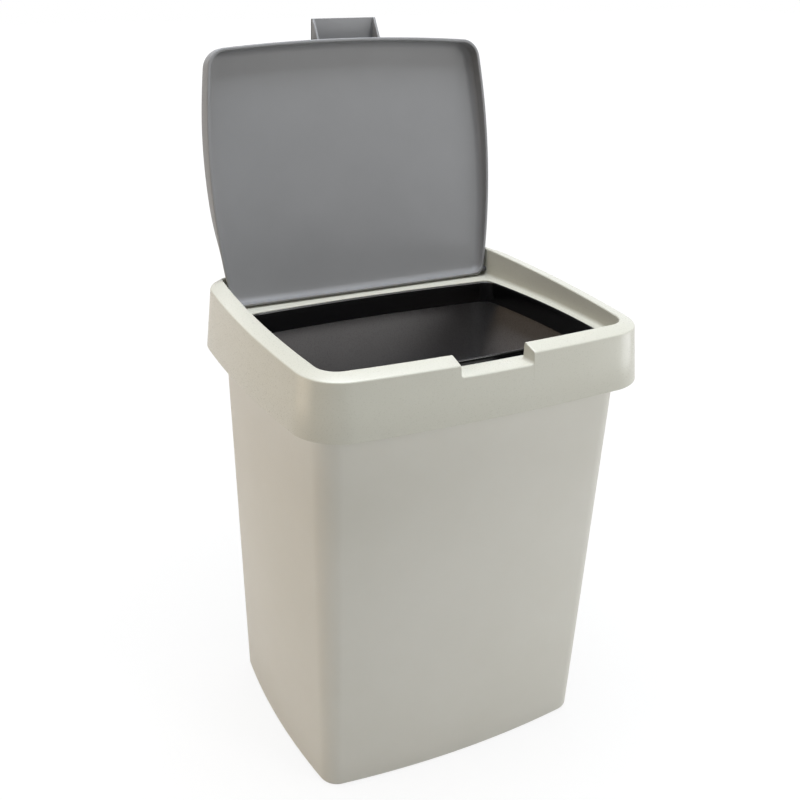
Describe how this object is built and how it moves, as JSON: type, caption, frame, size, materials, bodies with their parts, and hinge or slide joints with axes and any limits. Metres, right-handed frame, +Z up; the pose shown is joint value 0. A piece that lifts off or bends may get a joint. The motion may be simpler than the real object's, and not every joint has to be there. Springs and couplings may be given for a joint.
{
  "type": "flap-lid waste bin",
  "caption": "Tapered household waste bin with a hanging inner bucket, a bag ring, a flared lift-off collar with a finger notch, and a pan-shaped flap lid with a tab, hinged at the rear.",
  "frame": {"origin": "middle of the flat base, on the floor", "axes": "+Z up, the finger notch towards -Y, the hinge towards +Y, +X to the right seen from the front"},
  "size_m": [0.2996, 0.271, 0.5804],
  "materials": {
    "body_plastic": "moulded, fine satin texture",
    "bucket_plastic": "moulded, semi-gloss inside",
    "ring_plastic": "moulded, matte black",
    "collar_plastic": "moulded, fine satin texture",
    "lid_plastic": "moulded, fine satin texture",
    "pin_plastic": "extruded rod, smooth"
  },
  "bodies": {
    "base": {"outer_body": "body_plastic"},
    "bucket": {"inner_bucket": "bucket_plastic"},
    "ring": {"bag_ring": "ring_plastic"},
    "frame_top": {"collar": "collar_plastic"},
    "flap": {"lid": "lid_plastic", "hinge_pin_right": "pin_plastic", "hinge_pin_left": "pin_plastic"}
  },
  "joints": [
    {"name": "bucket_lift", "type": "slide", "parent": "base", "child": "bucket", "axis": [0, 0, 1], "range_m": [0, 0.36]},
    {"name": "ring_lift", "type": "slide", "parent": "bucket", "child": "ring", "axis": [0, 0, 1], "range_m": [0, 0.05]},
    {"name": "collar_lift", "type": "slide", "parent": "ring", "child": "frame_top", "axis": [0, 0, 1], "range_m": [0, 0.06]},
    {"name": "lid_hinge", "type": "hinge", "parent": "frame_top", "child": "flap", "pos_m": [0, 0.0975, 0.36145], "axis": [1, 0, 0], "range_deg": [0, 97.5]}
  ]
}
